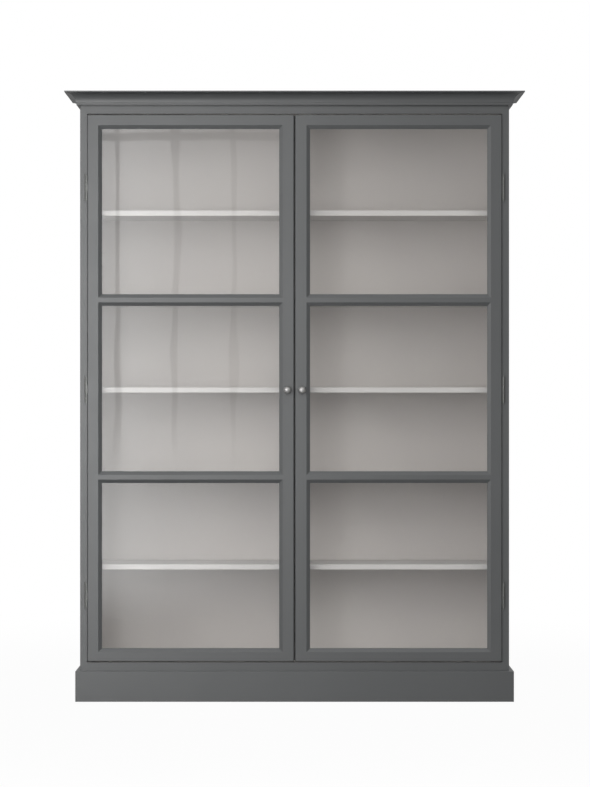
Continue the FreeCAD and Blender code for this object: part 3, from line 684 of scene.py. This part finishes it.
# Near-black pile for the strips in the gap between the doors: painted shade, a dark piece put where the gap
# lies in shadow.
GAP_SHADE_SEAL = MouldedPlastic(Slot.CATCH_PLASTIC, paint_chip(16, 17, 18), paint_chip(21, 22, 23))
PLASTIC = MouldedPlastic(Slot.CATCH_PLASTIC, paint_chip(222, 220, 213), paint_chip(228, 226, 220))


def dress(node: str, finish: Finish) -> None:
    """Gives every material slot of a CAD node the material of a finish.

    Args:
        node: The CAD node's name.
        finish: What it is finished in.
    """
    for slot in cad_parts[node].material_slots:
        slot.material = material_of(finish)
    LOG.info("%s: %s", node, finish.slot.value)


# ---------------------------------------------------------------- mesh helpers


def rank(elements: Iterable[Element], middle: Callable[[Element], Vector]) -> None:
    """Puts a mesh's corners, edges or faces in the order of their places.

    Args:
        elements: The mesh's sequence of them.
        middle: What gives the place of one.
    """
    ranked = sorted(elements, key=lambda element: middle(element).to_tuple(PLACE_DIGITS))
    for index, element in enumerate(ranked):
        element.index = index
    elements.sort()


def set_order(shape: bmesh.types.BMesh) -> None:
    """Gives a mesh's corners, edges and faces the same order in each run.

    Args:
        shape: The mesh.
    """
    rank(shape.verts, lambda corner: corner.co)
    rank(shape.edges, lambda edge: edge.verts[0].co + edge.verts[1].co)
    rank(shape.faces, lambda face: face.calc_center_median())


def mesh_object(name: str, shape: bmesh.types.BMesh, finish: Finish, body: str) -> bpy.types.Object:
    """Makes a smooth-shaded piece from a bmesh, dresses it and lets it ride on a body.

    Args:
        name: The piece's name.
        shape: Its mesh, which is freed.
        finish: What it is finished in.
        body: The CAD body that it moves with.

    Returns:
        The new object.
    """
    bmesh.ops.remove_doubles(shape, verts=shape.verts, dist=MERGE_DISTANCE)
    bmesh.ops.recalc_face_normals(shape, faces=shape.faces)
    set_order(shape)
    mesh = bpy.data.meshes.new(name)
    shape.to_mesh(mesh)
    shape.free()
    mesh.shade_smooth()
    mesh.set_sharp_from_angle(angle=SHARP_ANGLE)
    mesh.materials.append(material_of(finish))
    made = bpy.data.objects.new(name, mesh)
    bpy.context.scene.collection.objects.link(made)
    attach(made, body)
    LOG.info("%s: %d faces, on %s", name, len(mesh.polygons), body)
    return made


def box(low: Triple, high: Triple, arris: float) -> bmesh.types.BMesh:
    """A box with rounded edges.

    Args:
        low: Its corner with the least x, y and z.
        high: Its opposite corner.
        arris: The rounding of its edges.

    Returns:
        The box's mesh.
    """
    shape = bmesh.new()
    bmesh.ops.create_cube(shape, size=1.0)
    first = Vector(low)
    last = Vector(high)
    bmesh.ops.scale(shape, vec=last - first, verts=shape.verts)
    bmesh.ops.translate(shape, vec=(first + last) / 2, verts=shape.verts)
    bmesh.ops.bevel(
        shape, geom=shape.edges[:], offset=arris, segments=2, profile=0.5, affect="EDGES", material=-1
    )
    return shape


@dataclass(frozen=True)
class ScrewPlace:
    """Where a screw of the CAD model sits: its head's top, the way it points, and its measures."""

    head: Vector
    inward: Vector
    head_radius: float
    shank_radius: float
    length: float


def islands(shape: bmesh.types.BMesh) -> list[list[Vector]]:
    """Parts a mesh into its separate solids, in the same order each time.

    Args:
        shape: The mesh, with its doubles merged.

    Returns:
        The corners of each solid.
    """
    shape.verts.index_update()
    found = []
    seen: set[int] = set()
    for start in shape.verts:
        if start.index in seen:
            continue
        seen.add(start.index)
        waiting = [start]
        corners = []
        while waiting:
            corner = waiting.pop()
            corners.append(corner.co.copy())
            near = [edge.other_vert(corner) for edge in corner.link_edges]
            fresh = [other for other in near if other.index not in seen]
            seen.update(other.index for other in fresh)
            waiting.extend(fresh)
        found.append(corners)
    return found


def screw_place(corners: list[Vector]) -> ScrewPlace:
    """Works out how a screw lies from the corners of its solid.

    Args:
        corners: The solid's corners, for a screw that lies along X, Y or Z.

    Returns:
        The screw's place and measures.
    """
    low = Vector([min(corner[axis] for corner in corners) for axis in range(3)])
    high = Vector([max(corner[axis] for corner in corners) for axis in range(3)])
    extent = high - low
    along = max(range(3), key=lambda axis: extent[axis])
    middle = (low + high) / 2

    def reach(end: float) -> float:
        """How far the corners at one end lie from the axis.

        Args:
            end: Where that end is, along the screw.

        Returns:
            The greatest distance.
        """
        offsets = [corner - middle for corner in corners if abs(corner[along] - end) < END_TOLERANCE]
        return max(math.hypot(*(offset[axis] for axis in range(3) if axis != along)) for offset in offsets)

    head_is_high = reach(high[along]) > reach(low[along])
    head = middle.copy()
    head[along] = high[along] if head_is_high else low[along]
    inward = Vector((0.0, 0.0, 0.0))
    inward[along] = -1.0 if head_is_high else 1.0
    tip_reach = reach(low[along] if head_is_high else high[along])
    head_width = max(extent[axis] for axis in range(3) if axis != along)
    return ScrewPlace(head, inward, head_width / 2, tip_reach, extent[along])


@dataclass(frozen=True)
class CrossScrew:
    """A countersunk wood screw with a cross-shaped recess in its head.

    The recess and the rim are shares of the head's radius.
    """

    place: ScrewPlace
    steps: int = 24
    arm: float = 0.56
    arm_half_width: float = 0.15
    recess: float = 0.42
    recess_foot: float = 0.62
    top_edge: float = 0.74
    rim_edge: float = 0.95
    rim_drop: float = 0.05

    def add_to(self, shape: bmesh.types.BMesh) -> None:
        """Adds the screw, at its place.

        Args:
            shape: The mesh that takes it.
        """
        own = bmesh.new()
        self._turned_part(own)
        self._recess(own)
        turn = self.place.inward.to_track_quat("-Z", "Y").to_matrix().to_4x4()
        bmesh.ops.transform(own, matrix=Matrix.Translation(self.place.head) @ turn, verts=own.verts)
        mesh = bpy.data.meshes.new("screw")
        own.to_mesh(mesh)
        own.free()
        shape.from_mesh(mesh)
        bpy.data.meshes.remove(mesh)

    def _turned_part(self, own: bmesh.types.BMesh) -> None:
        """Makes the head's rim and cone, and the shank with its point.

        Args:
            own: The screw's mesh, with the head's top at the origin.
        """
        head = self.place.head_radius
        shank = self.place.shank_radius
        length = self.place.length
        drop = self.rim_drop * head
        profile = [(self.top_edge * head, 0.0), (self.rim_edge * head, 0.0), (head, -drop)]
        profile += [(shank, shank - head - drop), (shank, shank - length), (0.0, -length)]
        corners = [own.verts.new((x, 0.0, z)) for x, z in profile]
        edges = [own.edges.new(pair) for pair in zip(corners, corners[1:])]
        bmesh.ops.spin(
            own,
            geom=corners + edges,
            cent=(0, 0, 0),
            axis=(0, 0, 1),
            angle=math.tau,
            steps=self.steps,
            use_merge=True,
        )
        bmesh.ops.remove_doubles(own, verts=own.verts, dist=MERGE_DISTANCE)

    def _recess(self, own: bmesh.types.BMesh) -> None:
        """Closes the head's top with the cross sunk into it.

        Args:
            own: The screw's mesh, open at the head's top.
        """
        head = self.place.head_radius
        rim = [edge for edge in own.edges if edge.is_boundary]
        arm = self.arm * head
        half = self.arm_half_width * head
        quarter = [(arm, -half), (arm, half), (half, half)]
        outline = []
        for turn in range(4):
            cosine = round(math.cos(turn * math.pi / 2))
            sine = round(math.sin(turn * math.pi / 2))
            outline += [(cosine * x - sine * y, sine * x + cosine * y) for x, y in quarter]
        top = [own.verts.new((x, y, 0.0)) for x, y in outline]
        edges = [own.edges.new((corner, top[(index + 1) % len(top)])) for index, corner in enumerate(top)]
        bmesh.ops.bridge_loops(own, edges=rim + edges)
        foot = self.recess_foot
        sunk = [own.verts.new((foot * x, foot * y, -self.recess * head)) for x, y in outline]
        for index, corner in enumerate(top):
            after = (index + 1) % len(top)
            own.faces.new((corner, top[after], sunk[after], sunk[index]))
        own.faces.new(sunk)


def cross_screws(node: str, name: str, finish: Finish, body: str) -> None:
    """Replaces a CAD node of plain screws with ones that have a recess.

    Args:
        node: The CAD node of screws.
        name: The new piece's name.
        finish: What the screws are finished in.
        body: The body that they move with.
    """
    source = bmesh.new()
    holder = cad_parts[node]
    source.from_mesh(holder.data)
    source.transform(holder.matrix_world)
    bmesh.ops.remove_doubles(source, verts=source.verts, dist=MERGE_DISTANCE)
    shape = bmesh.new()
    for corners in islands(source):
        CrossScrew(screw_place(corners)).add_to(shape)
    source.free()
    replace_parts(mesh_object(name, shape, finish, body), node)


# ---------------------------------------------------------------- the bookcase


class Hand(Enum):
    """The two sides of the bookcase."""

    LEFT = "left"
    RIGHT = "right"


@dataclass
class Carcass:
    """The box: side, top, bottom and back panels, with their dowels and screws."""

    inner_x: float = 0.6785
    floor_z: float = 0.128
    ceiling_z: float = 1.922
    paint_line_y: float = -0.1345

    def dress(self) -> None:
        """Paints the panels grey outside and off-white inside."""
        self._dress_board("side_panel_left", Along.Z, Inner.SIDE, self.inner_x)
        self._dress_board("side_panel_right", Along.Z, Inner.SIDE, self.inner_x)
        self._dress_board("top_panel", Along.X, Inner.TOP, self.ceiling_z)
        self._dress_board("bottom_panel", Along.X, Inner.BOTTOM, self.floor_z)
        # The back panel gets the darker coat, which paints the shade at the back of the cabinet.
        dress("back_panel", BACK_SHADE_ALONG_Z)
        cross_screws("back_panel_screws", "back_panel_cross_screws", METAL, "cabinet")
        dress("carcass_dowels", PINE_ALONG_X)

    def _dress_board(self, node: str, along: Along, inner: Inner, inner_face: float) -> None:
        """Paints one board in its two colours.

        Args:
            node: The board's CAD node.
            along: The way it lies.
            inner: Which of its faces looks inwards.
            inner_face: Where that face is.
        """
        paint = TwoTone(GREY_COAT, WHITE_COAT, Slot.GREY_PAINT, along, inner, inner_face, self.paint_line_y)
        dress(node, paint)


@dataclass
class Shelving:
    """The shelves, each on its four pins."""

    shelf_count: int = 5

    def dress(self) -> None:
        """Paints the shelves and plates their pins."""
        for number in range(1, self.shelf_count + 1):
            dress(f"shelf_{number}", WHITE_ALONG_X)
        dress("shelf_pins", METAL)


@dataclass
class Plinth:
    """The skirting that the cabinet stands on."""

    def dress(self) -> None:
        """Paints the boards that show and leaves the ones behind them bare."""
        dress("plinth_front", GREY_ALONG_X)
        dress("plinth_left", GREY_ALONG_Y)
        dress("plinth_right", GREY_ALONG_Y)
        dress("plinth_back", PINE_ALONG_X)
        dress("plinth_blocks", PINE_ALONG_X)
        dress("plinth_screws", METAL)


@dataclass
class Cornice:
    """The moulding at the top, with its cover board."""

    def dress(self) -> None:
        """Paints the moulding along each of its lengths."""
        dress("cornice_front", GREY_ALONG_X)
        dress("cornice_left", GREY_ALONG_Y)
        dress("cornice_right", GREY_ALONG_Y)
        dress("cornice_cover", GREY_ALONG_X)
        dress("cornice_back_rail", PINE_ALONG_X)
        dress("cornice_screws", METAL)


@dataclass
class Furniture:
    """The hinges and catches that belong to the cabinet."""

    def dress(self) -> None:
        """Plates the hinges and moulds the catches."""
        for node in ("hinge_frame_leaves_left", "hinge_frame_leaves_right", "hinge_pins"):
            dress(node, HINGE_METAL)
        cross_screws("hinge_frame_screws", "hinge_frame_cross_screws", HINGE_METAL, "cabinet")
        dress("door_catches", PLASTIC)


@dataclass
class GlassDoor:
    """One framed door with three panes, and a near-black seal down its meeting edge that paints the gap's
    shade.
    """

    hand: Hand
    meeting_x: float = 0.0018
    seal_thickness: float = 0.0017
    seal_y: tuple[float, float] = (-0.1490, -0.1400)
    seal_z: tuple[float, float] = (0.1335, 1.9160)
    seal_sunk_in: float = 0.0003
    seal_arris: float = 0.0003

    def dress(self) -> None:
        """Paints the frame, glazes it and plates its fittings."""
        side = self.hand.value
        for name in ("hinge_stile", "meeting_stile"):
            dress(f"{side}_{name}", GREY_ALONG_Z)
        for name in ("top_rail", "upper_bar", "lower_bar", "bottom_rail", "glazing_beads"):
            dress(f"{side}_{name}", GREY_ALONG_X)
        for name in ("pane_top", "pane_middle", "pane_bottom"):
            dress(f"{side}_{name}", GLASS)
        dress(f"{side}_hinge_leaves", HINGE_METAL)
        cross_screws(f"{side}_hinge_screws", f"{side}_hinge_cross_screws", HINGE_METAL, f"{side}_door")
        for name in ("knob", "knob_screw", "strike_plate"):
            dress(f"{side}_{name}", METAL)
        self._gap_shade_seal()

    def _gap_shade_seal(self) -> None:
        """A near-black pile strip in the gap between the doors: partly a real seal that keeps out dust and
        light from inside, partly painted shade, its near-black colour standing for the gap's shadow.
        """
        sign = -1.0 if self.hand is Hand.LEFT else 1.0
        root = sign * (self.meeting_x + self.seal_sunk_in)
        tip = sign * (self.meeting_x - self.seal_thickness)
        ends = sorted((root, tip))
        low = (ends[0], self.seal_y[0], self.seal_z[0])
        high = (ends[1], self.seal_y[1], self.seal_z[1])
        name = f"{self.hand.value}_meeting_seal"
        mesh_object(name, box(low, high, self.seal_arris), GAP_SHADE_SEAL, f"{self.hand.value}_door")


# ---------------------------------------------------------------- the studio


@dataclass(frozen=True)
class SoftBox:
    """A rectangular lamp that is aimed at a point, and hidden from the camera."""

    name: str
    place: Triple
    aim: Triple
    width: float
    height: float
    brightness: float
    only_mirrored: bool = False

    def build(self) -> None:
        """Adds the lamp."""
        data = bpy.data.lights.new(self.name, "AREA")
        data.shape = "RECTANGLE"
        data.size = self.width
        data.size_y = self.height
        # The watts that give the lamp's whole face this brightness.
        data.energy = math.pi * self.width * self.height * self.brightness
        lamp = bpy.data.objects.new(self.name, data)
        lamp.location = self.place
        towards = Vector(self.aim) - Vector(self.place)
        lamp.rotation_euler = towards.to_track_quat("-Z", "Y").to_euler()
        lamp.visible_camera = False
        lamp.visible_diffuse = not self.only_mirrored
        bpy.context.scene.collection.objects.link(lamp)


@dataclass(frozen=True)
class GlazedWindow:
    """A tall window to the camera's left, which the panes of the left door mirror.

    Its panes of light are brightest at the left, as where trees shade the right of a window.
    """

    left: float = -1.02
    right: float = 0.02
    low: float = 0.0
    high: float = 2.35
    y: float = -3.0
    posts: tuple[float, ...] = (-0.744, -0.501, -0.259)
    post_width: float = 0.022
    transom_z: float = 2.081
    transom_width: float = 0.03
    bar_shade: float = 0.45
    bars_from_z: float = 0.60
    bars_to_z: float = 1.05
    levels: tuple[tuple[float, float], ...] = (
        (0.0, 4.4),
        (0.26, 3.3),
        (0.50, 2.35),
        (0.74, 1.7),
        (1.0, 1.35),
    )
    low_fade: float = 0.30
    high_fade: float = 0.1
    bar_edge: float = 0.75
    bar_core: float = 0.35

    def _bar(self, distance: Scalar, width: float) -> Scalar:
        """Draws a bar whose soft edges are shares of its width.

        Args:
            distance: How far a point lies from the bar's middle line.
            width: The bar's width.

        Returns:
            1 within the bar, 0 outside it.
        """
        return abs(distance).rises(width * self.bar_edge, width * self.bar_core)

    def build(self) -> None:
        """Makes the pane of light, hidden from the camera and casting no shadow."""
        shape = bmesh.new()
        bmesh.ops.create_grid(shape, x_segments=1, y_segments=1, size=0.5)
        size = (self.right - self.left, self.high - self.low, 1.0)
        bmesh.ops.scale(shape, vec=size, verts=shape.verts)
        turn = Matrix.Rotation(UPRIGHT, 3, "X")
        bmesh.ops.rotate(shape, cent=(0, 0, 0), matrix=turn, verts=shape.verts)
        middle = ((self.left + self.right) / 2, self.y, (self.low + self.high) / 2)
        bmesh.ops.translate(shape, vec=middle, verts=shape.verts)
        mesh = bpy.data.meshes.new("glazed_window")
        shape.to_mesh(mesh)
        shape.free()
        mesh.materials.append(self._material())
        window = bpy.data.objects.new("glazed_window", mesh)
        window.visible_camera = False
        window.visible_shadow = False
        bpy.context.scene.collection.objects.link(window)

    def _material(self) -> bpy.types.Material:
        """Makes light that fades from left to right, with the darker bars in it.

        Returns:
            The material.
        """
        material = bpy.data.materials.new("window_light")
        material.cycles.emission_sampling = "FRONT_BACK"
        tree = ShaderTree(material)
        x, _, z = tree.axes(tree.place())
        top_level = max(level for _, level in self.levels)
        across = (x - self.left) / (self.right - self.left)
        stops = [(share, (level / top_level,) * 3 + (1.0,)) for share, level in self.levels]
        ramp = tree.node("ShaderNodeValToRGB", {"stops": stops}, {0: across})
        bars = self._bar(z - self.transom_z, self.transom_width)
        for post in self.posts:
            bars = tree.maths("MAXIMUM", bars, self._bar(x - post, self.post_width))
        bars = bars * z.rises(self.bars_from_z, self.bars_to_z)
        fade = z.rises(self.low, self.low + self.low_fade) * z.rises(self.high, self.high - self.high_fade)
        light = (1.0 - self.bar_shade * bars) * fade
        lit = tree.node("ShaderNodeEmission", None, {"Color": ramp.outputs[0], "Strength": top_level})
        clear = tree.node("ShaderNodeBsdfTransparent")
        tree.finish(tree.mixed(clear, lit, light))
        return material


@dataclass(frozen=True)
class WhiteFloor:
    """A wide pale floor that shows as white and still keeps the cabinet's soft shadow."""

    radius: float = 14.0
    segments: int = 96
    shade: Colour = (0.20, 0.20, 0.20, 1.0)
    white_near: float = 0.97
    mirrored_share: float = 0.45
    fade_from: float = 1.2
    fade_to: float = 4.0
    speckles: NoiseLayer = NoiseLayer(300.0)
    speckle_share: float = 0.1

    def build(self) -> None:
        """Makes the floor and links it into the scene."""
        shape = bmesh.new()
        bmesh.ops.create_circle(shape, cap_ends=True, segments=self.segments, radius=self.radius)
        mesh = bpy.data.meshes.new("floor")
        shape.to_mesh(mesh)
        shape.free()
        mesh.materials.append(self._material())
        floor = bpy.data.objects.new("floor", mesh)
        bpy.context.scene.collection.objects.link(floor)

    def _material(self) -> bpy.types.Material:
        """Makes pale paint, lifted to white for the camera.

        Returns:
            The material.
        """
        material = bpy.data.materials.new("white_floor")
        tree = ShaderTree(material)
        place = tree.place()
        distance = tree.node("ShaderNodeVectorMath", {"operation": "LENGTH"}, {0: place}).outputs["Value"]
        far = Scalar(tree, distance).rises(self.fade_from, self.fade_to)
        speckle = tree.noise(place, self.speckles)
        shade = tree.between(self.shade, WHITE, self.speckle_share * speckle)
        paint = tree.node("ShaderNodeBsdfDiffuse", None, {"Color": shade})
        white = tree.node("ShaderNodeEmission", None, {"Color": WHITE, "Strength": 1.0})
        seen = tree.ray("Is Camera Ray", "Is Transmission Ray")
        seen = tree.maths("MAXIMUM", seen, self.mirrored_share * tree.ray("Is Glossy Ray"))
        share = seen * (self.white_near + (1.0 - self.white_near) * far)
        tree.finish(tree.mixed(paint, white, share))
        return material


@dataclass
class Studio:
    """The floor, the lamps, the surroundings and the camera."""

    camera_place: Triple = (0.0013, -10.380, 1.007)
    camera_reach: float = 100.0
    lens: float = 143.06
    sensor: float = 36.0
    ambient: float = 0.19
    frontal: float = 1.42
    rear: float = 0.85
    dome_aim: Triple = (0.0, -0.956, 0.292)
    mirrored_low: float = 0.34
    mirrored_high: float = 1.25
    mirrored_from_z: float = 0.05
    mirrored_to_z: float = 0.75
    lamps: tuple[SoftBox, ...] = (
        SoftBox(
            name="overhead",
            place=(-0.6, -3.8, 3.3),
            aim=(0.0, -0.15, 1.1),
            width=1.6,
            height=1.2,
            brightness=1.8,
        ),
        SoftBox(
            name="strip",
            place=(-1.02, -2.98, 1.1),
            aim=(-1.02, 0.0, 1.1),
            width=0.36,
            height=2.2,
            brightness=15.5,
            only_mirrored=True,
        ),
        SoftBox(
            name="side",
            place=(-3.4, -2.8, 1.6),
            aim=(0.0, -0.15, 1.0),
            width=1.2,
            height=1.2,
            brightness=6.5,
        ),
    )

    def build(self) -> None:
        """Builds the studio."""
        WhiteFloor().build()
        GlazedWindow().build()
        for lamp in self.lamps:
            lamp.build()
        self._surroundings()
        self._camera()

    def _surroundings(self) -> None:
        """A world that looks white, and lights the cabinet most from the front, and less from behind."""
        world = bpy.data.worlds.new("studio")
        bpy.context.scene.world = world
        tree = ShaderTree(world)
        _, y, z = tree.axes(tree.node("ShaderNodeTexCoord").outputs["Generated"])
        _, aim_y, aim_z = self.dome_aim
        facing = tree.maths("MAXIMUM", aim_y * y + aim_z * z, 0.0)
        behind = tree.maths("MAXIMUM", aim_z * z - aim_y * y, 0.0)
        dome = self.ambient + self.frontal * facing * facing + self.rear * behind * behind
        upward = z.rises(self.mirrored_from_z, self.mirrored_to_z)
        mirrored = self.mirrored_low + (self.mirrored_high - self.mirrored_low) * upward
        soft = dome + (mirrored - dome) * tree.ray("Is Glossy Ray")
        strength = soft + (1.0 - soft) * tree.ray("Is Camera Ray", "Is Transmission Ray")
        sky = tree.node("ShaderNodeBackground", None, {"Color": WHITE, "Strength": strength})
        tree.finish(sky, "ShaderNodeOutputWorld")

    def _camera(self) -> None:
        """A long lens, level with the middle of the doors."""
        data = bpy.data.cameras.new("camera")
        data.lens = self.lens
        data.sensor_width = self.sensor
        data.sensor_fit = "AUTO"
        data.clip_end = self.camera_reach
        camera = bpy.data.objects.new("camera", data)
        camera.location = self.camera_place
        camera.rotation_euler = (UPRIGHT, 0.0, 0.0)
        bpy.context.scene.collection.objects.link(camera)
        bpy.context.scene.camera = camera


def main() -> None:
    """Dresses the bookcase and builds the studio round it."""
    logging.basicConfig(level=logging.INFO, format="%(name)s: %(message)s")
    bpy.context.scene.view_settings.view_transform = "Standard"
    for part in (Carcass(), Shelving(), Plinth(), Cornice(), Furniture()):
        part.dress()
    for hand in Hand:
        GlassDoor(hand).dress()
    Studio().build()


if __name__ == "__main__":
    main()
